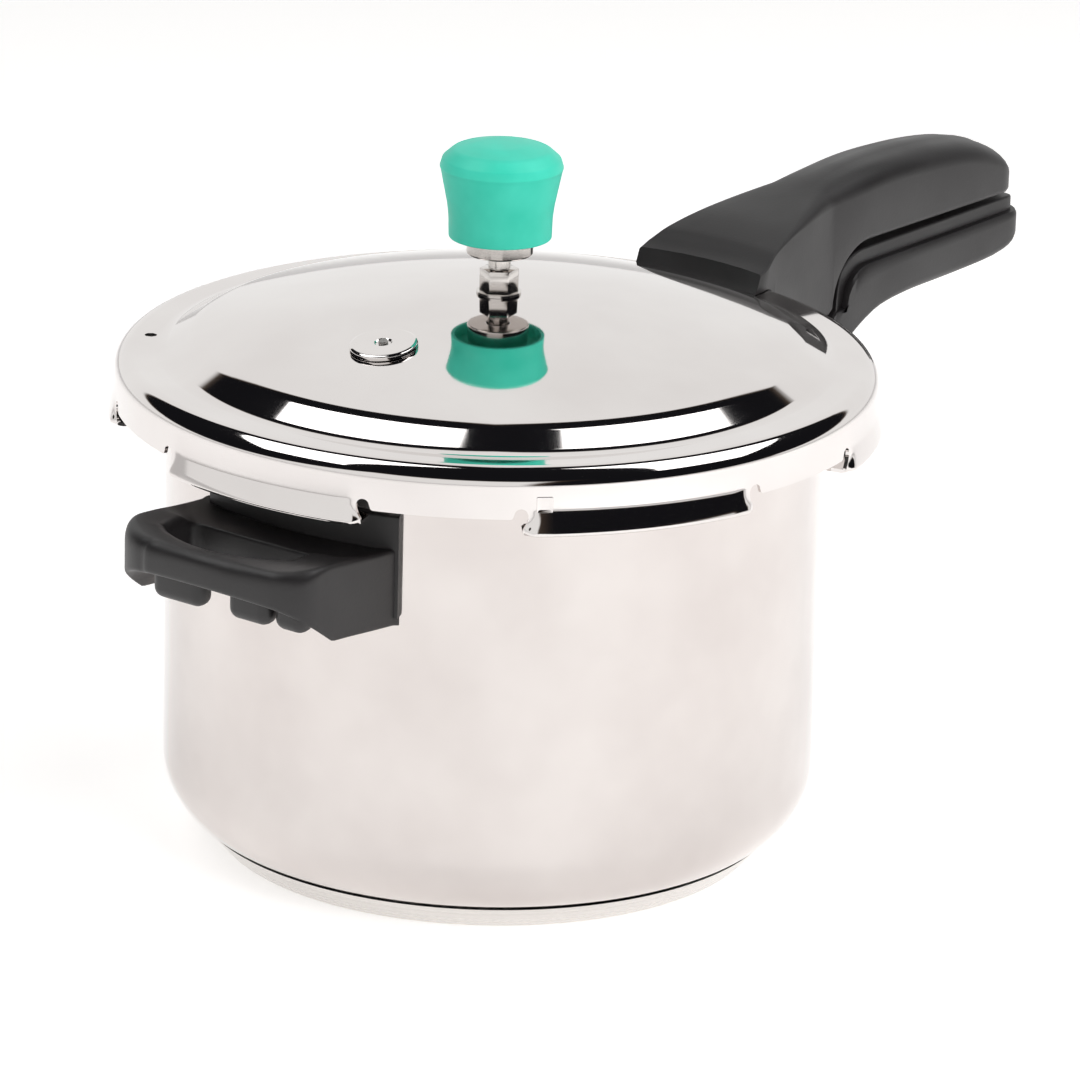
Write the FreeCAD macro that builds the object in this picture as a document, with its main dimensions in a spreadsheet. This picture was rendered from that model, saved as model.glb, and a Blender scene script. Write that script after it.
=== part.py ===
import FreeCAD, Part
import math
import os
import re
import Sketcher

# Stovetop pressure cooker. Origin: centre of the base's underside. +Z is up, and +X runs out along
# the long handles. Lengths are in millimetres, angles in degrees.

sizes = {
    # pot
    "pot_radius": 106.0,
    "pot_wall": 1.2,
    "pot_floor": 6.0,
    "pot_corner": 22.0,
    "rim_top": 152.0,
    "rim_radius": 112.0,
    "rim_thickness": 1.5,
    "lug_count": 6,
    "pot_lug_radius": 118.5,
    "pot_lug_bottom": 144.0,
    "pot_lug_angle": 23.0,
    # heat-spreading base
    "base_foot_radius": 88.0,
    "base_top_radius": 95.6,
    "base_height": 9.0,
    "base_sheet": 1.0,
    "core_radius": 84.0,
    # lid
    "lid_radius": 123.4,
    "lid_sheet": 1.2,
    "lid_skirt_bottom": 147.2,
    "lid_flange_top": 163.0,
    "lid_round": 6.0,
    "dome_foot_radius": 107.5,
    "dome_edge_radius": 97.0,
    "dome_top": 182.7,
    "dome_curve": 350.0,
    "dome_edge_round": 6.0,
    "dome_foot_round": 3.0,
    "lid_lug_bottom": 141.8,
    "lid_lug_inner": 113.5,
    "lid_lug_angle": 35.0,
    "flange_hole_radius": 2.0,
    "flange_hole_centre": 112.0,
    "flange_hole_angle": 123.0,
    "gasket_lip": 2.4,
    "seat_gap": 0.2,
    "gasket_inner": 109.5,
    "gasket_outer": 121.5,
    "gasket_bottom": 152.3,
    "gasket_top": 161.5,
    # vent pipe, its ring and its nut
    "vent_hex": 11.0,
    "vent_ring_bottom": 182.7,
    "vent_ring_top": 183.5,
    "vent_hex_top": 191.0,
    "vent_radius": 3.6,
    "vent_top": 212.0,
    "vent_bottom": 170.5,
    "vent_shank": 5.0,
    "vent_bore": 1.6,
    "vent_ring_radius": 7.2,
    "vent_nut_flats": 13.0,
    "vent_nut_height": 5.0,
    # weight
    "weight_foot": 195.7,
    "weight_collar_radius": 10.75,
    "weight_cover_bottom": 201.2,
    "weight_bottom_radius": 16.5,
    "weight_edge_radius": 19.9,
    "weight_edge_height": 224.6,
    "weight_crown_radius": 12.0,
    "weight_top": 232.5,
    "weight_waist_curve": 70.0,
    "weight_shoulder_curve": 12.0,
    "weight_crown_curve": 80.0,
    "weight_core_top": 224.0,
    "weight_bore": 4.0,
    "weight_bore_top": 214.0,
    "needle_radius": 2.5,
    "needle_clearance": 0.4,
    # safety valve
    "valve_place": -58.5,
    "valve_radius": 11.0,
    "valve_height": 1.8,
    "valve_shank": 5.0,
    "valve_depth": 9.0,
    "valve_nub": 0.4,
    "valve_ring": 1.6,
    "valve_ring_radius": 9.0,
    "valve_nut_height": 4.0,
    "valve_plug": 1.5,
    "valve_nut_flats": 15.0,
    # the two long handles share one bend, a gap apart
    "bend_x": 190.0,
    "bend_z": 140.5,
    "bend_radius": 22.0,
    "handle_gap": 3.2,
    "handle_width": 28.0,
    "handle_root_width": 50.0,
    "handle_taper_start": 114.0,
    "handle_root_end": 139.0,
    "handle_neck_end": 168.0,
    "handle_root_front": 109.8,
    "handle_inside": 100.0,
    "handle_tip_inset": 8.0,
    "handle_tip_curve": 16.25,
    "lid_handle_front_top": 166.9,
    "lid_handle_root_top": 179.6,
    "lid_handle_crest_x": 200.0,
    "lid_handle_crest": 190.0,
    "lid_handle_rise": 167.0,
    "lid_handle_fall_x": 266.0,
    "lid_handle_fall": 179.5,
    "lid_handle_fall_curve": 229.0,
    "lid_handle_tip": 284.0,
    "lid_handle_tip_top": 161.0,
    "lid_handle_tip_curve": 26.0,
    "lid_handle_rim_clearance": 124.3,
    "handle_round": 4.0,
    "pot_handle_tip": 287.0,
    "pot_handle_belly": 138.0,
    "pot_handle_tip_curve": 10.0,
    "pot_handle_neck_x": 200.0,
    "pot_handle_throat_x": 172.0,
    "pot_handle_throat": 124.0,
    "pot_handle_root_top": 136.0,
    "pot_handle_root_bottom": 90.0,
    "pot_handle_root_width": 36.0,
    # brackets and screws of the long handles
    "strap_width": 18.0,
    "strap_thickness": 2.0,
    "strap_length": 48.0,
    "lid_strap_start": 111.0,
    "pot_strap_height": 119.0,
    "pot_handle_screw_x": 139.0,
    "bracket_angle": 16.0,
    "bracket_sheet": 1.5,
    "bracket_reach": 16.0,
    "lid_screw_top": 172.0,
    "screw_radius": 2.5,
    "screw_head_radius": 4.5,
    "screw_head_height": 3.0,
    "screw_length": 14.0,
    # helper handle
    "helper_half_width": 40.0,
    "helper_reach": 152.0,
    "helper_corner": 12.0,
    "helper_bow": 260.0,
    "helper_bow_rise": 1.5,
    "helper_inside": 95.0,
    "helper_bottom": 104.6,
    "helper_side_top": 130.5,
    "helper_bar_top": 135.3,
    "helper_bar_bottom": 119.0,
    "helper_belly_x": 130.6,
    "helper_belly": 107.6,
    "helper_slot_inner": 120.0,
    "helper_slot_outer": 140.0,
    "helper_slot_half": 23.0,
    "helper_slot_bow": 7.0,
    "helper_slot_curve": 41.3,
    "helper_plate_top": 141.3,
    "helper_plate_reach": 108.6,
    "helper_strap_half": 12.0,
    "helper_strap_height": 119.0,
    "helper_strap_reach": 117.0,
    "helper_screw_place": 6.5,
}

doc = FreeCAD.newDocument("pressure_cooker")
sheet = doc.addObject("Spreadsheet::Sheet", "Sizes")
for row, (name, size) in enumerate(sizes.items(), start=1):
    sheet.set("A%d" % row, name)
    sheet.set("B%d" % row, str(size))
    sheet.setAlias("B%d" % row, name)
doc.recompute()


def bound(text):
    # puts the sheet in front of each size's name, and leaves functions such as sqrt( alone
    return re.sub(r"[a-z][a-z_]*\b(?!\()", r"Sizes.\g<0>", str(text))


def value(text):
    return float(sheet.evalExpression(bound(text)))


# ---- sketches and PartDesign features ----

def new_body(label):
    body = doc.addObject("PartDesign::Body", label)
    body.Label = label
    return body


def origin_feature(body, role):
    return [feature for feature in body.Origin.OriginFeatures if feature.Role == role][0]


def side_curve(start, end, radius):
    # an arc from start to end: it bulges out of an anticlockwise outline, or in if the radius is negative
    chord = end - start
    middle = (start + end) * 0.5
    left = FreeCAD.Vector(-chord.y, chord.x, 0).normalize()
    reach = math.sqrt(radius * radius - chord.Length ** 2 / 4)
    centre = middle + left * math.copysign(reach, radius)
    circle = Part.Circle(centre, FreeCAD.Vector(0, 0, 1), abs(radius))
    first, last = (start, end) if radius > 0 else (end, start)
    angles = [math.atan2(point.y - centre.y, point.x - centre.x) for point in (first, last)]
    return Part.ArcOfCircle(circle, angles[0], angles[1])


def dome_height(top, centre_depth, curve, radius):
    # height of a dome at a radius; its centre is centre_depth below the top
    return "%s - %s + sqrt((%s) ^ 2 - (%s) ^ 2)" % (top, centre_depth, curve, radius)


def hold(sketch, kind, place, text):
    # ties one coordinate of a side's end to the sheet; on an axis it is a point-on-line instead
    if str(text) == "0":
        axis_line = -2 if kind == "DistanceX" else -1
        sketch.addConstraint(Sketcher.Constraint("PointOnObject", *place, axis_line))
        return
    index = sketch.addConstraint(Sketcher.Constraint(kind, -1, 1, *place, value(text)))
    sketch.setExpression("Constraints[%d]" % index, bound(text))


def outline(sketch, corners):
    # a closed anticlockwise outline; a corner's third value is the radius of the side that starts there
    points = [FreeCAD.Vector(value(corner[0]), value(corner[1]), 0) for corner in corners]
    starts = []
    ends = []
    for number, corner in enumerate(corners):
        start = points[number]
        end = points[(number + 1) % len(points)]
        if len(corner) == 2:
            side = sketch.addGeometry(Part.LineSegment(start, end))
            starts.append((side, 1))
            ends.append((side, 2))
            continue
        radius = value(corner[2])
        side = sketch.addGeometry(side_curve(start, end, radius))
        starts.append((side, 1) if radius > 0 else (side, 2))
        ends.append((side, 2) if radius > 0 else (side, 1))
        if "0" in (corner[0], corners[(number + 1) % len(corners)][0]):
            sketch.addConstraint(Sketcher.Constraint("PointOnObject", side, 3, -2))  # a dome's centre
            continue
        index = sketch.addConstraint(Sketcher.Constraint("Radius", side, abs(radius)))
        sketch.setExpression("Constraints[%d]" % index, "abs(%s)" % bound(corner[2]))
    for number, corner in enumerate(corners):
        sketch.addConstraint(Sketcher.Constraint("Coincident", *ends[number - 1], *starts[number]))
        hold(sketch, "DistanceX", starts[number], corner[0])
        hold(sketch, "DistanceY", starts[number], corner[1])


def new_sketch(body, name, role, corners):
    sketch = body.newObject("Sketcher::SketchObject", name)
    sketch.AttachmentSupport = (origin_feature(body, role), [""])
    sketch.MapMode = "FlatFace"
    outline(sketch, corners)
    doc.recompute()
    return sketch


def turned(body, name, corners, angle="360"):
    # the corners are (radius, height) in the XZ plane; a part turn is centred on +X
    sketch = new_sketch(body, name + "_outline", "XZ_Plane", corners)
    turn = body.newObject("PartDesign::Revolution", name)
    turn.Profile = sketch
    turn.ReferenceAxis = (sketch, ["V_Axis"])
    turn.Midplane = angle != "360"
    turn.setExpression("Angle", bound(angle))
    doc.recompute()
    return turn


def padded(body, name, role, corners, length, symmetric=False):
    pad = body.newObject("PartDesign::Pad", name)
    pad.Profile = new_sketch(body, name + "_outline", role, corners)
    pad.SideType = "Symmetric" if symmetric else "One side"
    pad.setExpression("Length", bound(length))
    doc.recompute()
    return pad


def pocketed(body, name, role, corners):
    # cuts the outline right through, both ways from the plane, and checks that something went
    before = body.Shape.Volume
    pocket = body.newObject("PartDesign::Pocket", name)
    pocket.Profile = new_sketch(body, name + "_outline", role, corners)
    pocket.Type = "ThroughAll"
    pocket.SideType = "Symmetric"
    doc.recompute()
    if not body.Shape.Volume < before - 1:
        raise RuntimeError(name + " cuts nothing")
    return pocket


def rounded(body, name, places, radius):
    # rounds the circular edges about Z that lie at the given (radius, height) places
    base = body.Tip
    found = []
    for number, edge in enumerate(base.Shape.Edges, start=1):
        if edge.Degenerated or not isinstance(edge.Curve, Part.Circle):
            continue
        for place in places:
            same_radius = abs(edge.Curve.Radius - value(place[0])) < 0.01
            same_height = abs(edge.Curve.Center.z - value(place[1])) < 0.01
            if same_radius and same_height:
                found.append("Edge%d" % number)
    fillet = body.newObject("PartDesign::Fillet", name)
    fillet.Base = (base, found)
    fillet.setExpression("Radius", bound(radius))
    doc.recompute()
    return fillet


def repeated(body, name, features):
    pattern = body.newObject("PartDesign::PolarPattern", name)
    pattern.Originals = features
    pattern.Axis = (origin_feature(body, "Z_Axis"), [""])
    pattern.Angle = 360
    pattern.setExpression("Occurrences", bound("lug_count"))
    body.Tip = pattern
    doc.recompute()
    return pattern


# ---- primitives and booleans ----

def put(item, x="0", y="0", z="0"):
    for axis, text in (("x", x), ("y", y), ("z", z)):
        item.setExpression("Placement.Base." + axis, bound(text))
    return item


def cylinder(name, radius, bottom, top, x="0", y="0"):
    item = doc.addObject("Part::Cylinder", name)
    item.setExpression("Radius", bound(radius))
    item.setExpression("Height", bound("(%s) - (%s)" % (top, bottom)))
    return put(item, x, y, bottom)


def cone(name, low_radius, high_radius, bottom, top, x="0", y="0"):
    item = doc.addObject("Part::Cone", name)
    item.setExpression("Radius1", bound(low_radius))
    item.setExpression("Radius2", bound(high_radius))
    item.setExpression("Height", bound("(%s) - (%s)" % (top, bottom)))
    return put(item, x, y, bottom)


def hexagon(name, flats, bottom, top, x="0"):
    item = doc.addObject("Part::Prism", name)
    item.Polygon = 6
    item.setExpression("Circumradius", bound("(%s) / sqrt(3)" % flats))
    item.setExpression("Height", bound("(%s) - (%s)" % (top, bottom)))
    return put(item, x, "0", bottom)


def block(name, low, high):
    item = doc.addObject("Part::Box", name)
    for side, start, end in zip(("Length", "Width", "Height"), low, high):
        item.setExpression(side, bound("(%s) - (%s)" % (end, start)))
    return put(item, *low)


def fused(name, items):
    item = doc.addObject("Part::MultiFuse", name)
    item.Shapes = items
    item.Refine = True
    doc.recompute()
    return item


def cut(name, base, tools):
    item = doc.addObject("Part::Cut", name)
    item.Base = base
    item.Tool = tools[0] if len(tools) == 1 else fused(name + "_cuts", tools)
    item.Refine = True
    doc.recompute()
    return item


def common(name, first, second):
    item = doc.addObject("Part::Common", name)
    item.Base = first
    item.Tool = second
    item.Refine = True
    doc.recompute()
    return item


# ---- pot ----

def pot_body():
    # drawn shell with an outward rim, and six lugs whose lips turn down
    body = new_body("pot_body")
    turned(body, "pot_shell", [
        ("0", "pot_floor"),
        ("pot_radius", "pot_floor"),
        ("pot_radius", "rim_top - rim_thickness"),
        ("rim_radius", "rim_top - rim_thickness"),
        ("rim_radius", "rim_top"),
        ("pot_radius - pot_wall", "rim_top"),
        ("pot_radius - pot_wall", "pot_floor + pot_wall"),
        ("0", "pot_floor + pot_wall"),
    ])
    rounded(body, "pot_corner_outside", [("pot_radius", "pot_floor")], "pot_corner")
    inside = ("pot_radius - pot_wall", "pot_floor + pot_wall")
    rounded(body, "pot_corner_inside", [inside], "pot_corner - pot_wall")
    lug = turned(body, "pot_lug", [
        ("rim_radius - 1", "rim_top - rim_thickness"),
        ("pot_lug_radius - rim_thickness", "rim_top - rim_thickness"),
        ("pot_lug_radius - rim_thickness", "pot_lug_bottom"),
        ("pot_lug_radius", "pot_lug_bottom"),
        ("pot_lug_radius", "rim_top"),
        ("rim_radius - 1", "rim_top"),
    ], "pot_lug_angle")
    repeated(body, "pot_lugs", [lug])
    return body


def base_core():
    # aluminium disc that spreads the heat
    return cylinder("base_core", "core_radius", "base_sheet", "pot_floor")


def base_cap():
    # pressed cap that holds the disc against the pot
    body = new_body("base_cap")
    turned(body, "cap_shell", [
        ("0", "0"),
        ("base_foot_radius", "0"),
        ("base_top_radius", "base_height"),
        ("base_top_radius - base_sheet", "base_height - base_sheet"),
        ("base_foot_radius - base_sheet", "base_sheet"),
        ("0", "base_sheet"),
    ])
    return body


# ---- lid ----

def flange_hole():
    # small hole through the flange, beside the handle
    item = cylinder("flange_hole", "flange_hole_radius", "lid_flange_top - 5", "lid_flange_top + 5")
    return put(item, "flange_hole_centre * cos(flange_hole_angle)",
               "flange_hole_centre * sin(flange_hole_angle)", "lid_flange_top - 5")


def lid_shell():
    # one pressing: shallow dome, flange, rolled skirt, and six lugs turned in under the pot's
    body = new_body("lid_pressing")
    edge_inside = "dome_edge_radius - lid_sheet / 2"
    curve_inside = "dome_curve - lid_sheet"
    edge_top = dome_height("dome_top", "dome_curve", "dome_curve", "dome_edge_radius")
    edge_under = dome_height("dome_top", "dome_curve", curve_inside, edge_inside)
    turned(body, "lid_sheet_shell", [
        ("0", "dome_top - lid_sheet", "-(%s)" % curve_inside),
        (edge_inside, edge_under),
        ("dome_foot_radius - lid_sheet / 2", "lid_flange_top - lid_sheet"),
        ("lid_radius - lid_sheet", "lid_flange_top - lid_sheet"),
        ("lid_radius - lid_sheet", "lid_skirt_bottom"),
        ("lid_radius", "lid_skirt_bottom"),
        ("lid_radius", "lid_flange_top"),
        ("dome_foot_radius", "lid_flange_top"),
        ("dome_edge_radius", edge_top, "dome_curve"),
        ("0", "dome_top"),
    ])
    rounded(body, "skirt_outside", [("lid_radius", "lid_flange_top")], "lid_round")
    inside = ("lid_radius - lid_sheet", "lid_flange_top - lid_sheet")
    rounded(body, "skirt_inside", [inside], "lid_round - lid_sheet")
    rounded(body, "dome_edge", [("dome_edge_radius", edge_top)], "dome_edge_round")
    rounded(body, "dome_edge_under", [(edge_inside, edge_under)], "dome_edge_round - lid_sheet")
    foot = [("dome_foot_radius", "lid_flange_top")]
    foot_under = [("dome_foot_radius - lid_sheet / 2", "lid_flange_top - lid_sheet")]
    rounded(body, "dome_foot", foot, "dome_foot_round")
    rounded(body, "dome_foot_under", foot_under, "dome_foot_round + lid_sheet")
    lug = turned(body, "lid_lug", [
        ("lid_radius - lid_sheet", "lid_skirt_bottom + 1"),
        ("lid_radius - lid_sheet", "lid_lug_bottom + lid_sheet"),
        ("lid_lug_inner", "lid_lug_bottom + lid_sheet"),
        ("lid_lug_inner", "lid_lug_bottom"),
        ("lid_radius", "lid_lug_bottom"),
        ("lid_radius", "lid_skirt_bottom + 1"),
    ], "lid_lug_angle")
    repeated(body, "lid_lugs", [lug])
    vent_hole = cylinder("vent_hole", "vent_shank", "vent_bottom", "vent_top")
    valve_hole = tilted(cylinder("valve_hole", "valve_shank", "0", "2 * valve_depth"), "-valve_depth")
    return cut("lid_shell", body, [vent_hole, valve_hole, flange_hole()])


def lid_gasket():
    # rubber ring in the lid's channel, hollowed from the inside so that steam spreads its lips
    body = new_body("lid_gasket")
    turned(body, "gasket_ring", [
        ("gasket_inner", "gasket_bottom"),
        ("gasket_outer", "gasket_bottom"),
        ("gasket_outer", "gasket_top"),
        ("gasket_inner", "gasket_top"),
        ("gasket_inner", "gasket_top - gasket_lip"),
        ("gasket_outer - gasket_lip", "gasket_top - gasket_lip"),
        ("gasket_outer - gasket_lip", "gasket_bottom + gasket_lip"),
        ("gasket_inner", "gasket_bottom + gasket_lip"),
    ])
    rounded(body, "gasket_shoulder", [("gasket_outer", "gasket_top")], "lid_round - lid_sheet - seat_gap")
    return body


def vent_pipe():
    # steam tube with a hexagon for its spanner; the weight stands over its neck
    hexagonal = hexagon("vent_collar", "vent_hex", "dome_top", "vent_hex_top")
    neck = cylinder("vent_neck", "vent_radius", "vent_hex_top", "vent_top")
    shank = cylinder("vent_thread", "vent_shank", "vent_bottom", "dome_top")
    bore = cylinder("vent_bore_hole", "vent_bore", "vent_bottom", "vent_top")
    return cut("vent_pipe", fused("vent_solid", [hexagonal, neck, shank]), [bore])


def vent_ring():
    # thin ring round the hexagon's foot
    ring = cylinder("vent_ring_disc", "vent_ring_radius", "vent_ring_bottom", "vent_ring_top")
    hole = hexagon("vent_ring_hole", "vent_hex", "vent_ring_bottom", "vent_ring_top")
    return cut("vent_ring", ring, [hole])


def vent_nut():
    top = "dome_top - lid_sheet - seat_gap"
    nut = hexagon("vent_nut_block", "vent_nut_flats", top + " - vent_nut_height", top)
    hole = cylinder("vent_nut_hole", "vent_shank", top + " - vent_nut_height", top)
    return cut("vent_nut", nut, [hole])


# ---- safety valve: stands square to the dome, so its pieces are made upright and then tilted ----

def tilted(item, lift="0"):
    seat = "dome_top - dome_curve + sqrt(dome_curve ^ 2 - valve_place ^ 2)"
    lean = "asin(valve_place / dome_curve)"
    item.Placement.Rotation = FreeCAD.Rotation(FreeCAD.Vector(0, 1, 0), 1)
    item.setExpression("Placement.Rotation.Angle", bound(lean))
    x = "valve_place + (%s) * sin(%s)" % (lift, lean)
    z = "%s + (%s) * cos(%s)" % (seat, lift, lean)
    return put(item, x, "0", z)


def valve_piece(name, solid, hole):
    return tilted(cut(name, solid, [hole]))


def safety_valve():
    # body with a fusible plug, sealed by a rubber ring and held by a nut below the lid
    bevel_start = "valve_height / 2"
    head = cylinder("valve_head", "valve_radius", "0", bevel_start)
    bevel = cone("valve_bevel", "valve_radius", "valve_radius - " + bevel_start, bevel_start, "valve_height")
    shank = cylinder("valve_thread", "valve_shank", "-valve_depth", "0")
    plug_hole = cylinder("valve_plug_hole", "valve_plug", "-valve_depth", "valve_height")
    body = valve_piece("safety_valve_body", fused("valve_solid", [head, bevel, shank]), plug_hole)
    plug_length = "valve_depth + valve_height + valve_nub"
    plug = tilted(cylinder("safety_valve_plug", "valve_plug", "0", plug_length), "-valve_depth")
    ring_top = "-lid_sheet - seat_gap"
    ring_bottom = ring_top + " - valve_ring"
    ring = cylinder("valve_ring_disc", "valve_ring_radius", ring_bottom, ring_top)
    ring_hole = cylinder("valve_ring_hole", "valve_shank", ring_bottom, ring_top)
    gasket = valve_piece("safety_valve_gasket", ring, ring_hole)
    nut_bottom = ring_bottom + " - valve_nut_height"
    nut_blank = hexagon("valve_nut_blank", "valve_nut_flats", nut_bottom, ring_bottom)
    nut_hole = cylinder("valve_nut_hole", "valve_shank", nut_bottom, ring_bottom)
    nut = valve_piece("safety_valve_nut", nut_blank, nut_hole)
    return [body, plug, gasket, nut]


# ---- weight ----

def weight_cover():
    # heat-proof cap with waisted sides and a low crown, moulded round the steel
    body = new_body("weight_cover")
    crown_edge = dome_height("weight_top", "weight_crown_curve", "weight_crown_curve", "weight_crown_radius")
    turned(body, "cover_shell", [
        ("weight_collar_radius", "weight_cover_bottom"),
        ("weight_bottom_radius", "weight_cover_bottom", "-weight_waist_curve"),
        ("weight_edge_radius", "weight_edge_height", "weight_shoulder_curve"),
        ("weight_crown_radius", crown_edge, "weight_crown_curve"),
        ("0", "weight_top"),
        ("0", "weight_core_top"),
        ("weight_collar_radius", "weight_core_top"),
    ])
    return body


def weight_core():
    # steel weight, bored to drop over the vent pipe's neck
    body = new_body("weight_core")
    turned(body, "core_shell", [
        ("weight_bore", "weight_foot"),
        ("weight_collar_radius", "weight_foot"),
        ("weight_collar_radius", "weight_core_top"),
        ("needle_radius", "weight_core_top"),
        ("needle_radius", "weight_bore_top"),
        ("weight_bore", "weight_bore_top"),
    ])
    return body


def weight_needle():
    # pin whose cone closes the vent's bore
    stem = cylinder("needle_stem", "needle_radius", "weight_bore_top + 1", "weight_core_top")
    tip = cone("needle_tip", "vent_bore - needle_clearance", "needle_radius", "vent_top + needle_clearance",
               "weight_bore_top + 1")
    return fused("weight_needle", [stem, tip])


# ---- handles ----

def screw(name, x, y, bottom, top):
    # round-headed screw, driven from below
    head = cylinder(name + "_head", "screw_head_radius", bottom, "(%s) + screw_head_height" % bottom, x, y)
    stem = cylinder(name + "_stem", "screw_radius", "(%s) + screw_head_height" % bottom, top, x, y)
    return fused(name, [head, stem])


def handle_plan(name, front, root_half, tip):
    # outline from above: hollow front round the pot, wide root, narrower grip with a rounded end
    body = new_body(name)
    root_x = "sqrt((%s) ^ 2 - (%s) ^ 2)" % (front, root_half)
    grip_half = "handle_width / 2"
    grip_end = "%s - handle_tip_inset" % tip
    padded(body, name + "_pad", "XY_Plane", [
        (root_x, root_half, "-(%s)" % front),
        (root_x, "-(%s)" % root_half),
        ("handle_taper_start", "-(%s)" % root_half),
        ("handle_neck_end", "-" + grip_half),
        (grip_end, "-" + grip_half, "handle_tip_curve"),
        (grip_end, grip_half),
        ("handle_neck_end", grip_half),
        ("handle_taper_start", root_half),
    ], "weight_top")
    return body


def lid_handle_parts():
    # upper long handle: sits on the flange, drops outside the skirt, then runs out as the grip
    side = new_body("lid_handle_side")
    padded(side, "lid_handle_side_pad", "XZ_Plane", [
        ("handle_inside", "lid_flange_top"),
        ("lid_handle_rim_clearance", "lid_flange_top"),
        ("lid_handle_rim_clearance", "bend_z"),
        ("bend_x - bend_radius", "bend_z", "-bend_radius"),
        ("bend_x", "bend_z + bend_radius"),
        ("lid_handle_tip", "lid_handle_tip_top", "lid_handle_tip_curve"),
        ("lid_handle_fall_x", "lid_handle_fall", "lid_handle_fall_curve"),
        ("lid_handle_crest_x", "lid_handle_crest", "lid_handle_rise"),
        ("handle_root_end", "lid_handle_root_top"),
        ("handle_inside", "lid_handle_front_top"),
    ], "handle_root_width", symmetric=True)
    plan = handle_plan("lid_handle_plan", "handle_root_front", "handle_root_width / 2", "lid_handle_tip")
    blank = common("lid_handle_form", side, plan)
    strap = block("lid_strap_blank",
                  ("lid_strap_start", "-strap_width / 2", "lid_flange_top"),
                  ("lid_strap_start + strap_length", "strap_width / 2", "lid_flange_top + strap_thickness"))
    front_x = "lid_handle_rim_clearance + 2 * screw_head_radius"
    rear_x = front_x + " + 4 * screw_head_radius"
    front = screw("lid_handle_screw_front", front_x, "0", "bend_z", "lid_screw_top")
    rear = screw("lid_handle_screw_rear", rear_x, "0", "bend_z", "lid_screw_top")
    bracket = cut("lid_handle_bracket", strap, [front, rear])
    handle = cut("lid_handle", blank, [strap, front, rear])
    return [handle, bracket, front, rear]


def body_handle_parts():
    # lower long handle: rises from the pot's wall and runs out under the upper one, a gap below it
    grip_top = "bend_z + bend_radius - handle_gap"
    inner_bend = "bend_radius - handle_gap"
    side = new_body("body_handle_side")
    padded(side, "body_handle_side_pad", "XZ_Plane", [
        ("handle_inside", "pot_handle_root_bottom"),
        ("pot_handle_throat_x", "pot_handle_throat"),
        ("pot_handle_neck_x", "pot_handle_belly"),
        ("pot_handle_tip - pot_handle_tip_curve", "pot_handle_belly", "pot_handle_tip_curve"),
        ("pot_handle_tip", "pot_handle_belly + pot_handle_tip_curve"),
        ("pot_handle_tip", grip_top + " - handle_round"),
        ("pot_handle_tip - handle_round", grip_top),
        ("bend_x", grip_top, inner_bend),
        ("bend_x - (%s)" % inner_bend, "bend_z"),
        ("bend_x - bend_radius", "pot_handle_root_top"),
        ("handle_inside", "pot_handle_root_top"),
    ], "pot_handle_root_width", symmetric=True)
    root_half = "pot_handle_root_width / 2"
    plan = handle_plan("body_handle_plan", "pot_radius + bracket_sheet", root_half, "pot_handle_tip")
    blank = common("body_handle_form", side, plan)
    plate_body = new_body("body_handle_plate")
    turned(plate_body, "body_handle_plate_turn", [
        ("pot_radius", "pot_strap_height - bracket_reach"),
        ("pot_radius + bracket_sheet", "pot_strap_height - bracket_reach"),
        ("pot_radius + bracket_sheet", "pot_strap_height + bracket_reach"),
        ("pot_radius", "pot_strap_height + bracket_reach"),
    ], "bracket_angle")
    tongue = block("body_handle_tongue",
                   ("pot_radius + bracket_sheet / 2", "-strap_width / 2", "pot_strap_height"),
                   ("pot_radius + strap_length", "strap_width / 2", "pot_strap_height + strap_thickness"))
    screw_x = "pot_handle_screw_x"
    head_bottom = "pot_strap_height - screw_head_height - strap_thickness"
    driver_way = cylinder("body_handle_counterbore", "screw_head_radius", "pot_handle_root_bottom",
                          head_bottom, screw_x)
    fixing = screw("body_handle_screw", screw_x, "0", head_bottom, head_bottom + " + screw_length")
    bracket = cut("body_handle_bracket", fused("body_bracket_blank", [plate_body, tongue]), [fixing])
    handle = cut("body_handle", blank, [tongue, fixing, driver_way])
    return [handle, bracket, fixing]


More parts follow.
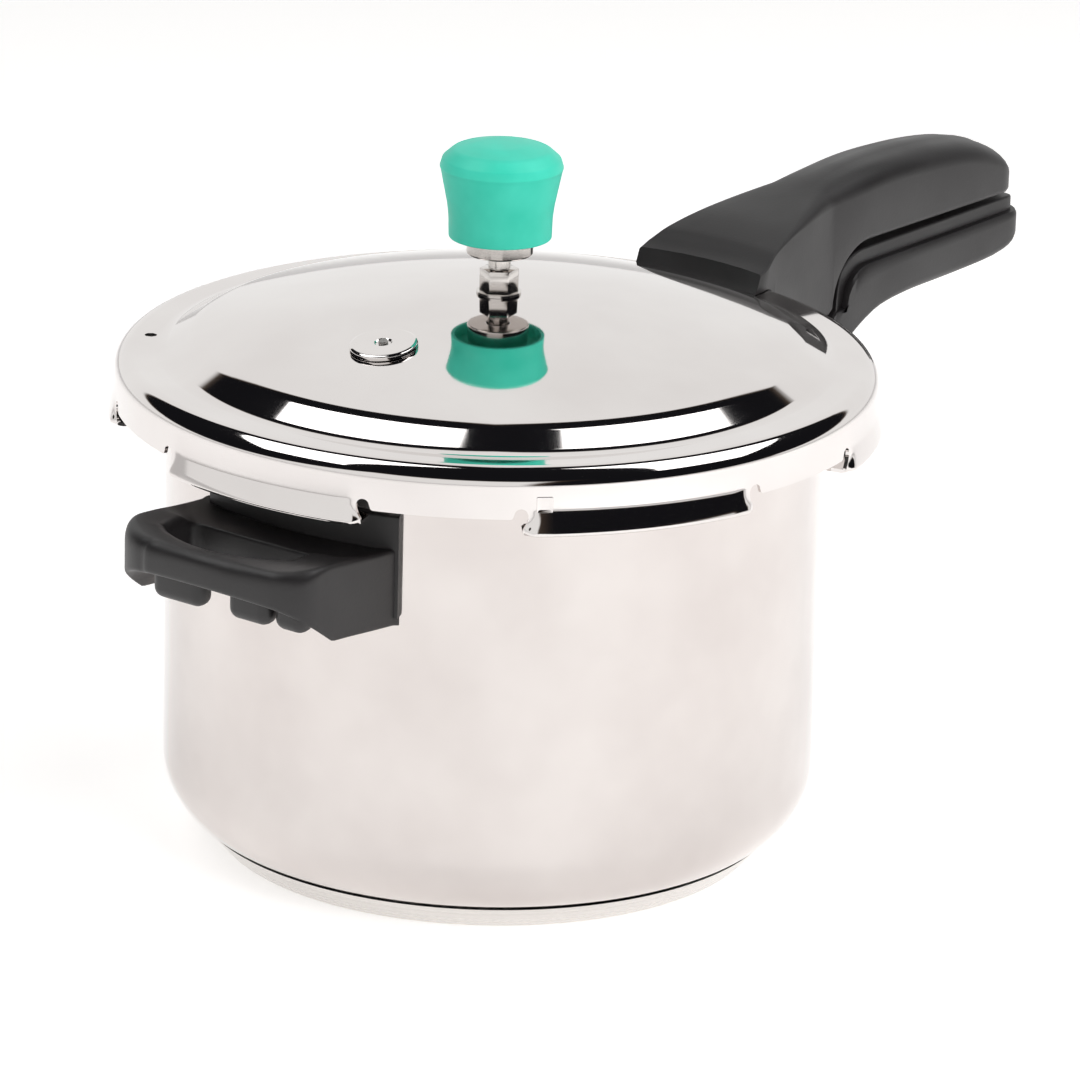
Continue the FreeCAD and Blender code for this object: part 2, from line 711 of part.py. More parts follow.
def helper_handle_parts():
    # short loop handle opposite the long ones, with a finger slot and a plate up the wall
    wall_x = "-sqrt(pot_radius ^ 2 - helper_half_width ^ 2)"
    outer_x = "-(helper_reach - helper_bow_rise)"
    corner_half = "helper_half_width - helper_corner"
    plan = new_body("helper_handle_plan")
    padded(plan, "helper_plan_pad", "XY_Plane", [
        (wall_x, "-helper_half_width", "-pot_radius"),
        (wall_x, "helper_half_width"),
        (outer_x + " + helper_corner", "helper_half_width", "helper_corner"),
        (outer_x, corner_half, "helper_bow"),
        (outer_x, "-(%s)" % corner_half, "helper_corner"),
        (outer_x + " + helper_corner", "-helper_half_width"),
    ], "rim_top")
    pocketed(plan, "helper_slot", "XY_Plane", [
        ("-helper_slot_inner", "-helper_slot_half"),
        ("-helper_slot_inner", "helper_slot_half"),
        ("-helper_slot_outer + helper_slot_bow", "helper_slot_half", "helper_slot_curve"),
        ("-helper_slot_outer + helper_slot_bow", "-helper_slot_half"),
    ])
    side = new_body("helper_handle_side")
    padded(side, "helper_side_pad", "XZ_Plane", [
        ("-helper_reach - 1", "helper_bar_bottom"),
        ("-helper_belly_x", "helper_belly"),
        ("-helper_inside", "helper_bottom"),
        ("-helper_inside", "helper_side_top"),
        ("-helper_slot_outer", "helper_bar_top"),
        ("-helper_reach - 1", "helper_bar_top - 1"),
    ], "2 * helper_half_width", symmetric=True)
    plate = new_body("helper_handle_plate")
    turned(plate, "helper_plate_turn", [
        ("-helper_plate_reach", "helper_belly"),
        ("-pot_radius", "helper_belly"),
        ("-pot_radius", "helper_plate_top"),
        ("-helper_plate_reach", "helper_plate_top"),
    ], "2 * asin(helper_half_width / pot_radius)")
    blank = fused("helper_handle_blank", [common("helper_handle_form", plan, side), plate])
    tongue_top = "helper_strap_height + strap_thickness"
    tongue = block("helper_tongue",
                   ("-helper_strap_reach", "-helper_strap_half", "helper_strap_height"),
                   ("-pot_radius + pot_wall / 4", "helper_strap_half", tongue_top))
    screws = []
    ways = []
    for side_name, place in (("left", "helper_screw_place"), ("right", "-helper_screw_place")):
        bottom = "helper_bottom + screw_head_height"
        screw_x = "-(helper_strap_reach + pot_radius) / 2"
        name = "helper_screw_" + side_name
        screws.append(screw(name, screw_x, place, bottom, "helper_strap_height + 2 * strap_thickness"))
        way = cylinder(name + "_way", "screw_head_radius", "helper_bottom - 1", bottom, screw_x, place)
        ways.append(way)
    pot_wall_round = cylinder("helper_wall_round", "pot_radius", "0", "rim_top")
    bracket = cut("helper_bracket", tongue, [pot_wall_round] + screws)
    handle = cut("helper_handle", blank, [tongue] + screws + ways)
    return [handle, bracket] + screws


# ---- the assembly ----

nodes = [pot_body(), base_core(), base_cap()]
nodes += body_handle_parts()
nodes += helper_handle_parts()
nodes += [lid_shell(), lid_gasket(), vent_pipe(), vent_ring(), vent_nut()]
nodes += safety_valve()
nodes += lid_handle_parts()
nodes += [weight_cover(), weight_core(), weight_needle()]
doc.recompute()

for item in doc.Objects:
    for state in ("Invalid", "Error"):
        if state in item.State:
            raise RuntimeError("%s is in state %s" % (item.Label, state))

os.makedirs("parts", exist_ok=True)
for item in nodes:
    shape = item.Shape
    if shape.isNull() or not shape.isValid() or len(shape.Solids) != 1:
        raise RuntimeError(item.Label + " is not one valid solid")
    shape.exportStep(os.path.join("parts", item.Label + ".step"))
    print("%-24s %8.2f cm3" % (item.Label, shape.Volume / 1000))
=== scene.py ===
import math
import bpy
import bmesh
from mathutils import Matrix, Vector
from mathutils.kdtree import KDTree


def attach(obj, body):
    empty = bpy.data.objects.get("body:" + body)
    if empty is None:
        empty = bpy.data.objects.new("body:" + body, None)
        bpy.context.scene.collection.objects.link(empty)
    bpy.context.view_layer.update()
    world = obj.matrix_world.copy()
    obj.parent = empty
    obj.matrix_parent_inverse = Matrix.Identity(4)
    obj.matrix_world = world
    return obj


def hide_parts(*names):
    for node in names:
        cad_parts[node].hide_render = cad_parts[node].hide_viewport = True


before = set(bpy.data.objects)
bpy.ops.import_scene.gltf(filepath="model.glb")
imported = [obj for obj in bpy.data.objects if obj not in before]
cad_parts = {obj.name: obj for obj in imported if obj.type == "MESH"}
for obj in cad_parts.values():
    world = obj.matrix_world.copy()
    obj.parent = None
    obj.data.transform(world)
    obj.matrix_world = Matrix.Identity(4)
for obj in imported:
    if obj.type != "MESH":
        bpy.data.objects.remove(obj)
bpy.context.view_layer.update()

mm = 0.001  # every size below is in millimetres


def srgb(code, alpha=1.0):
    # "#rrggbb" to the linear colour that the shader wants
    parts = [int(code[i:i + 2], 16) / 255 for i in (1, 3, 5)]
    return [p / 12.92 if p <= 0.04045 else ((p + 0.055) / 1.055) ** 2.4 for p in parts] + [alpha]


def node(tree, kind, settings=None, links=None):
    # adds one node; a setting is an input's name or number, an attribute, or a colour ramp's stops
    made = tree.nodes.new(kind)
    for name, value in (settings or {}).items():
        if name == "stops":
            line = made.color_ramp
            while len(line.elements) < len(value):
                line.elements.new(0.5)
            for element, (position, colour) in zip(line.elements, value):
                element.position = position
                element.color = srgb(colour)
        elif isinstance(name, int) or name in made.inputs:
            made.inputs[name].default_value = value
        else:
            setattr(made, name, value)
    for name, socket in (links or {}).items():
        tree.links.new(socket, made.inputs[name])
    return made


def newMaterial(name, metallic=0.0, ior=1.5):
    material = bpy.data.materials.new(name)
    material.use_nodes = True
    tree = material.node_tree
    shader = tree.nodes["Principled BSDF"]
    shader.inputs["Metallic"].default_value = metallic
    shader.inputs["IOR"].default_value = ior
    place = node(tree, "ShaderNodeTexCoord").outputs["Object"]
    return material, tree, shader, place


def surface(tree, shader, pattern, colours, rough, relief, depth):
    # one pattern drives colour and roughness, another (or the same) a relief that is depth mm high
    low, high = 0.3, 0.7  # most of a noise's values lie between these
    stops = [(low, colours[0]), (high, colours[1])]
    tone = node(tree, "ShaderNodeValToRGB", {"stops": stops}, {"Fac": pattern})
    spread = {"From Min": low, "From Max": high, "To Min": rough[0], "To Max": rough[1]}
    gloss = node(tree, "ShaderNodeMapRange", spread, {"Value": pattern})
    bump = node(tree, "ShaderNodeBump", {"Distance": depth * mm}, {"Height": relief})
    tree.links.new(tone.outputs["Color"], shader.inputs["Base Color"])
    tree.links.new(gloss.outputs["Result"], shader.inputs["Roughness"])
    tree.links.new(bump.outputs["Normal"], shader.inputs["Normal"])
    return tone


def mirrorStainless(name, colours, rough, wave):
    # 304 stainless sheet, drawn and mirror-buffed: sharp reflections with a faint haze where the mop
    # dwelt, and the slight unevenness that drawn sheet keeps
    material, tree, shader, place = newMaterial(name, metallic=1.0)
    haze = node(tree, "ShaderNodeTexNoise", {"Scale": 1 / (45 * mm), "Detail": 3.0}, {"Vector": place})
    swell = node(tree, "ShaderNodeTexNoise", {"Scale": 1 / (60 * mm), "Detail": 1.0}, {"Vector": place})
    surface(tree, shader, haze.outputs["Fac"], colours, rough, swell.outputs["Fac"], wave)
    return material


def turnedStainless(name, colours, rough, pitch, depth):
    # stainless turned on a lathe: rings about the axis, drawn wider apart than real tool marks to show
    material, tree, shader, place = newMaterial(name, metallic=1.0)
    split = node(tree, "ShaderNodeSeparateXYZ", None, {"Vector": place}).outputs
    flat = node(tree, "ShaderNodeCombineXYZ", None, {"X": split["X"], "Y": split["Y"]})
    radius = node(tree, "ShaderNodeVectorMath", {"operation": "LENGTH"}, {0: flat.outputs["Vector"]})
    rings = node(tree, "ShaderNodeCombineXYZ", None, {"X": radius.outputs["Value"], "Z": split["Z"]})
    lines = node(tree, "ShaderNodeTexNoise", {"Scale": 1 / (pitch * mm), "Detail": 3.0},
                 {"Vector": rings.outputs["Vector"]})
    surface(tree, shader, lines.outputs["Fac"], colours, rough, lines.outputs["Fac"], depth)
    return material


def mouldedPhenolic(name):
    # black phenolic, compression moulded: a satin skin with fine orange peel, slightly greyer where handled
    material, tree, shader, place = newMaterial(name, ior=1.55)
    cloud = node(tree, "ShaderNodeTexNoise", {"Scale": 1 / (30 * mm), "Detail": 3.0}, {"Vector": place})
    peel = node(tree, "ShaderNodeTexNoise", {"Scale": 1 / (1.1 * mm), "Detail": 3.0}, {"Vector": place})
    tone = surface(tree, shader, cloud.outputs["Fac"], ("#181617", "#201e1f"), (0.40, 0.52),
                   peel.outputs["Fac"], 0.03)
    specks = node(tree, "ShaderNodeTexNoise", {"Scale": 1 / (1.6 * mm), "Detail": 6.0, "Roughness": 0.7},
                  {"Vector": place})
    rubbed = node(tree, "ShaderNodeValToRGB", {"stops": [(0.66, "#000000"), (0.74, "#505050")]},
                  {"Fac": specks.outputs["Fac"]})
    mixed = node(tree, "ShaderNodeMix", {"data_type": "RGBA", 7: srgb("#3c3938")},
                 {0: rubbed.outputs["Color"], 6: tone.outputs["Color"]})
    tree.links.new(mixed.outputs[2], shader.inputs["Base Color"])
    return material


def moulded(name, colours, rough, ior, grain, depth):
    # silicone and rubber: an even, soft skin with a very fine grain
    material, tree, shader, place = newMaterial(name, ior=ior)
    cloud = node(tree, "ShaderNodeTexNoise", {"Scale": 1 / (10 * mm), "Detail": 2.0}, {"Vector": place})
    fine = node(tree, "ShaderNodeTexNoise", {"Scale": 1 / (grain * mm), "Detail": 3.0}, {"Vector": place})
    surface(tree, shader, cloud.outputs["Fac"], colours, rough, fine.outputs["Fac"], depth)
    return material


def dullMetal(name, colours, rough, grain, depth):
    # plated, rolled or cast metal of the small and hidden pieces
    material, tree, shader, place = newMaterial(name, metallic=1.0)
    fine = node(tree, "ShaderNodeTexNoise", {"Scale": 1 / (grain * mm), "Detail": 4.0}, {"Vector": place})
    surface(tree, shader, fine.outputs["Fac"], colours, rough, fine.outputs["Fac"], depth)
    return material


lidSteel = mirrorStainless("mirrorBuffedLid", ("#dbd6d4", "#e2dedc"), (0.04, 0.06), 0.03)
potSteel = mirrorStainless("mirrorBuffedPot", ("#cec7c4", "#d9d3d0"), (0.06, 0.13), 0.05)
baseSteel = turnedStainless("satinBaseCap", ("#dad6d3", "#e3e0dd"), (0.2, 0.3), 1.2, 0.001)
barSteel = turnedStainless("turnedStainlessBar", ("#d0cbc7", "#d9d5d1"), (0.1, 0.16), 0.5, 0.0005)
phenolic = mouldedPhenolic("blackPhenolic")
greenCover = moulded("seaGreenSilicone", ("#3dd7bb", "#49dfc4"), (0.42, 0.55), 1.43, 0.7, 0.01)
rubber = moulded("blackGasketRubber", ("#1b1b1c", "#262627"), (0.6, 0.75), 1.52, 0.8, 0.02)
zincSteel = dullMetal("zincPlatedSteel", ("#a5a7aa", "#b9bbbd"), (0.3, 0.45), 1.5, 0.01)
rolledAluminium = dullMetal("rolledAluminium", ("#b8babd", "#c8cacc"), (0.35, 0.5), 0.9, 0.01)
softAlloy = dullMetal("castFusibleAlloy", ("#8f8e8c", "#a5a3a0"), (0.4, 0.55), 0.6, 0.01)
print("materials made")


def finishMesh(name, bm, material, body, replaced=(), sharpAngle=35):
    # turns a bmesh into a finished piece at the origin
    bmesh.ops.remove_doubles(bm, verts=bm.verts, dist=1e-6)
    bmesh.ops.dissolve_degenerate(bm, edges=bm.edges, dist=1e-6)
    mesh = bpy.data.meshes.new(name)
    bm.to_mesh(mesh)
    bm.free()
    mesh.shade_smooth()
    mesh.set_sharp_from_angle(angle=math.radians(sharpAngle))
    piece = bpy.data.objects.new(name, mesh)
    bpy.context.scene.collection.objects.link(piece)
    mesh.materials.append(material)
    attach(piece, body)
    if replaced:
        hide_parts(*replaced)
    return piece


def bored(piece, holes, sharpAngle=40):
    # drills upright holes, each (x, y, bottom, top, radius), through a finished piece
    bm = bmesh.new()
    for x, y, bottom, top, radius in holes:
        place = Matrix.Translation(Vector((x, y, (bottom + top) / 2)) * mm)
        bmesh.ops.create_cone(bm, cap_ends=True, segments=40, radius1=radius * mm, radius2=radius * mm,
                              depth=(top - bottom) * mm, matrix=place)
    drillMesh = bpy.data.meshes.new("drill")
    bm.to_mesh(drillMesh)
    bm.free()
    drill = bpy.data.objects.new("drill", drillMesh)
    bpy.context.scene.collection.objects.link(drill)
    cutting = piece.modifiers.new("bores", "BOOLEAN")
    cutting.operation = "DIFFERENCE"
    cutting.solver = "EXACT"
    cutting.object = drill
    bpy.context.view_layer.update()
    whole = bpy.data.meshes.new_from_object(piece.evaluated_get(bpy.context.evaluated_depsgraph_get()))
    piece.modifiers.remove(cutting)
    old = piece.data
    whole.name = old.name
    piece.data = whole
    whole.shade_smooth()
    whole.set_sharp_from_angle(angle=math.radians(sharpAngle))
    bpy.data.objects.remove(drill)
    bpy.data.meshes.remove(drillMesh)
    bpy.data.meshes.remove(old)


def wire(bm, corners):
    # joins (radius, height, rounding, steps) corners by edges, then rounds the ones that say so
    verts = [bm.verts.new((c[0] * mm, 0, c[1] * mm)) for c in corners]
    for first, second in zip(verts, verts[1:]):
        bm.edges.new((first, second))
    for vert, corner in zip(verts, corners):
        if len(corner) < 3:
            continue
        arms = [(e.other_vert(vert).co - vert.co).normalized() for e in vert.link_edges]
        turn = math.pi - arms[0].angle(arms[1])
        bmesh.ops.bevel(bm, geom=[vert], offset=corner[2] * mm * math.tan(turn / 2), offset_type="OFFSET",
                        segments=corner[3] if len(corner) > 3 else 8, profile=0.5, affect="VERTICES",
                        material=-1, clamp_overlap=False)
    return bm


def spun(bm, steps, angle=2 * math.pi):
    # spins everything in the bmesh about Z
    geometry = bm.verts[:] + bm.edges[:]
    bmesh.ops.spin(bm, geom=geometry, cent=(0, 0, 0), axis=(0, 0, 1), angle=angle, steps=steps,
                   use_merge=angle > 6.28, use_duplicate=False)
    bmesh.ops.remove_doubles(bm, verts=bm.verts, dist=1e-6)
    bmesh.ops.recalc_face_normals(bm, faces=bm.faces)
    return bm


def turnedPiece(name, corners, material, body, replaced=(), steps=96):
    # a solid of revolution from a closed or axis-to-axis outline
    bm = wire(bmesh.new(), corners)
    spun(bm, steps)
    return finishMesh(name, bm, material, body, replaced)


def walk(bm):
    # the wire's points in order, from the one nearest the axis
    order = [min(bm.verts, key=lambda v: v.co.x)]
    last = None
    while True:
        ahead = [e.other_vert(order[-1]) for e in order[-1].link_edges if e.other_vert(order[-1]) is not last]
        if not ahead:
            return order
        last = order[-1]
        order.append(ahead[0])


def rise(value, low, high):
    # 0 below low, 1 above high, and smooth between
    share = min(1, max(0, (value - low) / (high - low)))
    return share * share * (3 - 2 * share)


def lugReach(inside, full, lug):
    # how far down its path the sheet goes, by distance inside the lug's end (negative in the gap)
    gap, corner, easing = lug["gapReach"], lug["corner"], lug["easing"]
    if inside >= corner:
        return full
    if inside >= 0:
        return full - corner + math.sqrt(corner ** 2 - (corner - inside) ** 2)
    if inside <= -lug["notch"] - easing:
        return gap
    if inside < -lug["notch"]:
        return gap - easing + math.sqrt(max(0, easing ** 2 - (inside + lug["notch"] + easing) ** 2))
    if lug["notch"] == 0:
        return gap
    across = (inside + lug["notch"] / 2) / (lug["notch"] / 2)
    return (gap - easing) * (1 - math.sqrt(max(0, 1 - across * across)))


def punched(bm, centre, radius):
    # a round hole through the sheet
    near = {e for f in bm.faces if (f.calc_center_median() - centre).length < radius * 2.2 for e in f.edges}
    bmesh.ops.subdivide_edges(bm, edges=list(near), cuts=3, use_grid_fill=True)
    inside = [f for f in bm.faces if (f.calc_center_median() - centre).length < radius]
    bmesh.ops.delete(bm, geom=inside, context="FACES")
    for edge in bm.edges:
        for vert in edge.verts:
            away = vert.co - centre
            if edge.is_boundary and away.length < radius * 1.5:
                vert.co = centre + away.normalized() * radius


def acrossSheet(along, spoke, side):
    # square to the sheet, from a step down its path and the direction out from the axis
    return Vector((along.z * spoke.x, along.z * spoke.y, -along.x)).normalized() * side


def luggedShell(name, shell, material, body, replaced):
    # a turned sheet whose edge runs further down its path at six lugs
    lug = shell["lug"]
    bm = wire(bmesh.new(), shell["corners"])
    start = Vector((lug["start"][0] * mm, 0, lug["start"][1] * mm))
    order = walk(bm)
    first = min(range(len(order)), key=lambda i: (order[i].co - start).length)
    long = [e for e in bm.edges if e.calc_length() > 2.5 * mm and set(order[first:]).issuperset(e.verts)]
    bmesh.ops.subdivide_edges(bm, edges=long, cuts=4)
    path = [v.co.copy() for v in walk(bm)]
    lugPath = path[first:]
    reach = [0.0]
    for a, b in zip(lugPath, lugPath[1:]):
        reach.append(reach[-1] + (b - a).length / mm)

    radius = lugPath[0].x / mm
    half = lug["angle"] / 2
    ease = {"row": 8, "flare": 3, "hookDrop": 4, "hook": (1, 8)}  # mm over which each change comes in
    hook = math.degrees(ease["row"] / radius)
    notch = math.degrees(max(lug["notch"], 0.5) / radius)
    easing = math.degrees(lug["easing"] / radius)
    fine = 0.01  # degrees between the two columns that make a lug's end
    turns = [(half - fine - hook, 9), (hook, 10), (2 * fine, 1), (notch - fine, 10), (easing, 4)]
    turns.append((30 - sum(turn[0] for turn in turns), 7))  # half of a lug's share of the circle
    strip = bm.verts[:] + bm.edges[:]
    for turn, steps in 6 * (turns + turns[::-1]):
        strip = bmesh.ops.spin(bm, geom=strip, cent=(0, 0, 0), axis=(0, 0, 1), angle=math.radians(turn),
                               steps=steps, use_merge=False, use_duplicate=False)["geom_last"]
    finder = KDTree(len(path))
    for index, point in enumerate(path):
        finder.insert(point, index)
    finder.balance()
    split = next(i for i, length in enumerate(reach) if length >= lug["gapReach"])  # the last row in a gap
    atEnd = lugReach(-0.02, reach[-1], lug)  # just outside a lug's end
    spare = []
    inward = bm.verts.layers.float_vector.new("inward")  # which way the sheet's thickness goes
    side = 1 if shell["facesUp"] else -1
    for vert in bm.verts:
        index = finder.find(Vector((vert.co.xy.length, 0, vert.co.z)))[1] - first
        if index <= 0:
            continue
        angle = math.degrees(math.atan2(vert.co.y, vert.co.x))
        off = (angle + 30) % 60 - 30
        inside = math.radians(half - abs(off)) * radius
        if inside < 0 and index > split:
            spare.append(vert)
            continue
        end = lugReach(inside, reach[-1], lug)
        row = end if inside < 0 else atEnd + (reach[split] - atEnd) * rise(inside, 0, ease["row"])
        if index <= split:
            wanted = row * reach[index] / reach[split]
        else:
            wanted = row + (end - row) * (reach[index] - reach[split]) / (reach[-1] - reach[split])
        step = next(i for i in range(len(reach) - 1) if reach[i + 1] >= wanted - 1e-9)
        here, ahead = lugPath[step], lugPath[step + 1]
        point = here.lerp(ahead, (wanted - reach[step]) / (reach[step + 1] - reach[step]))
        drop = min(1, (start.z - point.z) / mm / lug["flareDrop"])
        flare = lug["flare"] * drop * rise(inside, 0, ease["flare"])
        outwards = point.x + flare * rise(point.x / mm, *lug["flareInside"]) * mm
        swing = lug["hook"] * rise(wanted, lug["gapReach"], lug["gapReach"] + ease["hookDrop"])
        swing *= 1 - rise(inside, *ease["hook"])
        angle = math.radians(angle) + math.copysign(swing / radius, off) * (inside >= 0)
        spoke = Vector((math.cos(angle), math.sin(angle)))
        vert.co = Vector((outwards * spoke.x, outwards * spoke.y, point.z))
        vert[inward] = acrossSheet(ahead - here, spoke, side)
    bmesh.ops.delete(bm, geom=spare, context="VERTS")
    bmesh.ops.remove_doubles(bm, verts=bm.verts, dist=2e-6)
    for angle, distance, size in shell.get("holes", ()):
        turn = math.radians(angle)
        centre = Vector((distance * math.cos(turn), distance * math.sin(turn), shell["holeHeight"]))
        punched(bm, centre * mm, size * mm)
    bmesh.ops.recalc_face_normals(bm, faces=bm.faces)

    # the second skin, a sheet's thickness inwards, and the edge between the two
    skin = bm.verts[:]
    rim = [edge for edge in bm.edges if edge.is_boundary]
    copies = bmesh.ops.duplicate(bm, geom=bm.verts[:] + bm.edges[:] + bm.faces[:])["vert_map"]
    for vert in skin:
        away = vert[inward]
        if away.length < 0.5:  # above the lugs, where it isn't set yet
            index = finder.find(Vector((vert.co.xy.length, 0, vert.co.z)))[1]
            along = path[min(index + 1, len(path) - 1)] - path[max(index - 1, 0)]
            away = acrossSheet(along, vert.co.xy.normalized(), side)
        copies[vert].co = vert.co + away * shell["sheet"] * mm
    for edge in rim:
        one, other = edge.verts
        bm.faces.new((one, other, copies[other], copies[one]))
    bmesh.ops.recalc_face_normals(bm, faces=bm.faces)
    return finishMesh(name, bm, material, body, replaced, sharpAngle=50)


# the pot: flat floor, round corner, straight wall, and a rim with turned-down lugs
potShell = {
    "corners": [(0, 6.0), (106.0, 6.0, 22.0, 24), (106.0, 150.6, 2.0), (112.0, 150.6), (117.2, 150.6, 1.6),
                (117.2, 144.2)],
    "lug": {"start": (112.0, 150.6), "angle": 23.0, "gapReach": 0.0, "notch": 0, "easing": 0.0001,
            "corner": 2.5, "hook": 0.0, "flare": 0.0, "flareDrop": 1.0, "flareInside": (0.0, 1.0)},
    "sheet": 1.2, "facesUp": False}
luggedShell("potShell", potShell, potSteel, "pot", ["pot_body"])

# the base cap: a shallow pan with a crisp foot, and a fine groove between its wall and the pot
baseCap = [(0, 0), (88.0, 0, 1.0), (95.6, 8.8, 0.35), (94.8, 8.2), (87.2, 0.9, 0.5), (0, 0.9)]
turnedPiece("baseCap", baseCap, baseSteel, "pot", ["base_cap"], 192)

# the lid: shallow dome, steep shoulder, flange, rolled skirt, and lugs that flare before they turn in
domeTop, domeCurve = 182.7, 350.0
domeRows = [(r, domeTop - domeCurve + math.sqrt(domeCurve ** 2 - r * r)) for r in (*range(0, 96, 7), 97)]
lidShell = {
    "corners": domeRows[:-1] + [
        (*domeRows[-1], 16.0, 12), (107.5, 163.0, 9.0, 12), (122.7, 163.0, 6.0, 14), (122.7, 150.6),
        (122.7, 141.9, 1.3), (113.5, 141.9)],
    "lug": {"start": (122.7, 150.6), "angle": 35.0, "gapReach": 3.4, "notch": 4.4, "easing": 1.2,
            "corner": 3.0, "hook": 1.6, "flare": 2.0, "flareDrop": 8.1, "flareInside": (115.0, 121.0)},
    "holes": [(123.0, 112.0, 2.0)], "holeHeight": 163.0, "sheet": 1.2, "facesUp": True}
luggedShell("lidShell", lidShell, lidSteel, "lid", ["lid_shell"])

# a small raised square stamped into the front lug
stamp = {"angle": 224.8, "radius": 122.7, "height": 152.0, "size": 5.0, "thick": 1.0, "border": 1.1,
         "sunk": 0.45, "edge": 0.25}
bm = bmesh.new()
bmesh.ops.create_cube(bm, size=1)
bmesh.ops.scale(bm, vec=Vector((stamp["thick"], stamp["size"], stamp["size"])) * mm, verts=bm.verts)
face = max(bm.faces, key=lambda f: f.normal.x)
bmesh.ops.inset_region(bm, faces=[face], thickness=stamp["border"] * mm, depth=0)
bmesh.ops.translate(bm, vec=(-stamp["sunk"] * mm, 0, 0), verts=face.verts)
bmesh.ops.bevel(bm, geom=bm.edges[:], offset=stamp["edge"] * mm, segments=2, profile=0.5, affect="EDGES",
                material=-1)
place = Matrix.Rotation(math.radians(stamp["angle"]), 4, "Z") @ Matrix.Translation(
    Vector((stamp["radius"], 0, stamp["height"])) * mm)
bmesh.ops.transform(bm, matrix=place, verts=bm.verts)
finishMesh("lugStamp", bm, lidSteel, "lid")
print("shells made")

# the weight's cover: hollow below, waisted sides, a ridge at the widest place, and a low crown
weightCover = [(0, 215.2), (10.9, 215.2), (10.9, 210.0), (15.2, 208.5, 2.0), (15.2, 201.5, 0.3),
               (16.5, 201.3, 0.5), (16.7, 210.0, 40), (19.4, 223.4, 1.0, 4), (19.8, 224.6, 0.5, 4),
               (19.0, 227.3, 1.4), (15.6, 230.3, 4.0), (8.0, 232.0, 14.0), (0, 232.4)]
turnedPiece("weightCover", weightCover, greenCover, "weight", ["weight_cover"])

# the steel weight, bored for the vent pipe and its needle
weightCore = [(2.6, 214.0), (4.0, 214.0), (4.0, 195.8, 0.4), (10.7, 195.8, 0.7), (10.7, 215.0), (2.6, 215.0),
              (2.6, 214.0)]
turnedPiece("weightCore", weightCore, barSteel, "weight", ["weight_core"])
print("weight made")

# the vent pipe: a bored stem through a hexagon whose corners are slightly rounded
ventPipe = [(1.6, 170.6), (4.95, 170.6, 0.4), (4.95, 184.0), (3.55, 184.0), (3.55, 211.9, 0.3), (1.6, 211.9),
            (1.6, 170.6)]
turnedPiece("ventPipe", ventPipe, barSteel, "lid", ["vent_pipe"], 64)
hexagon = {"flats": 11.0, "bottom": 182.75, "top": 191.0, "faceAngle": 217.5, "edge": 0.35, "bore": 1.6}
bm = bmesh.new()
corner = hexagon["flats"] / math.sqrt(3) * mm
bmesh.ops.create_cone(bm, cap_ends=True, segments=6, radius1=corner, radius2=corner,
                      depth=(hexagon["top"] - hexagon["bottom"]) * mm)
first = max(bm.verts, key=lambda v: v.co.x).co
bmesh.ops.rotate(bm, cent=(0, 0, 0), verts=bm.verts, matrix=Matrix.Rotation(
    math.radians(hexagon["faceAngle"] + 30) - math.atan2(first.y, first.x), 3, "Z"))
bmesh.ops.translate(bm, vec=(0, 0, (hexagon["top"] + hexagon["bottom"]) / 2 * mm), verts=bm.verts)
bmesh.ops.bevel(bm, geom=bm.edges[:], offset=hexagon["edge"] * mm, segments=2, profile=0.5, affect="EDGES",
                material=-1)
ventHexagon = finishMesh("ventHexagon", bm, barSteel, "lid")
bored(ventHexagon, [(0, 0, hexagon["bottom"] - 1, hexagon["top"] + 1, hexagon["bore"])])

# the safety valve: its head and shank, turned and then leaned to stand square to the dome
valve = {"place": -58.5,
         "outline": [(1.55, -8.9), (4.9, -8.9, 0.4), (4.9, 0.02), (10.9, 0.02, 0.15), (10.9, 1.4, 0.5, 4),
                     (9.9, 1.75, 0.8, 4), (2.9, 1.75, 0.2), (2.4, 1.2, 0.2), (1.55, 1.2), (1.55, -8.9)]}
valveHead = turnedPiece("safetyValve", valve["outline"], lidSteel, "lid",
                        ["safety_valve_body"])
seat = domeTop - domeCurve + math.sqrt(domeCurve ** 2 - valve["place"] ** 2)
valveHead.data.transform(Matrix.Translation(Vector((valve["place"], 0, seat)) * mm)
                         @ Matrix.Rotation(math.asin(valve["place"] / domeCurve), 4, "Y"))


def through(points, x):
    # smooth curve through (x, height) points
    index = max([i for i in range(len(points) - 1) if points[i][0] <= x] or [0])
    (x0, y0), (x1, y1) = points[index], points[index + 1]
    slopes = []
    for i in (index, index + 1):
        low, high = points[max(i - 1, 0)], points[min(i + 1, len(points) - 1)]
        slopes.append((high[1] - low[1]) / (high[0] - low[0]) * (x1 - x0))
    t = min(1, (x - x0) / (x1 - x0))
    return (y0 * (2 * t ** 3 - 3 * t ** 2 + 1) + slopes[0] * (t ** 3 - 2 * t ** 2 + t)
            + y1 * (3 * t ** 2 - 2 * t ** 3) + slopes[1] * (t ** 3 - t ** 2))


def rounding(share):
    # a pair (outwards, upwards) on a quarter circle, for a share of its length from its top
    return math.sin(share * math.pi / 2), math.cos(share * math.pi / 2)


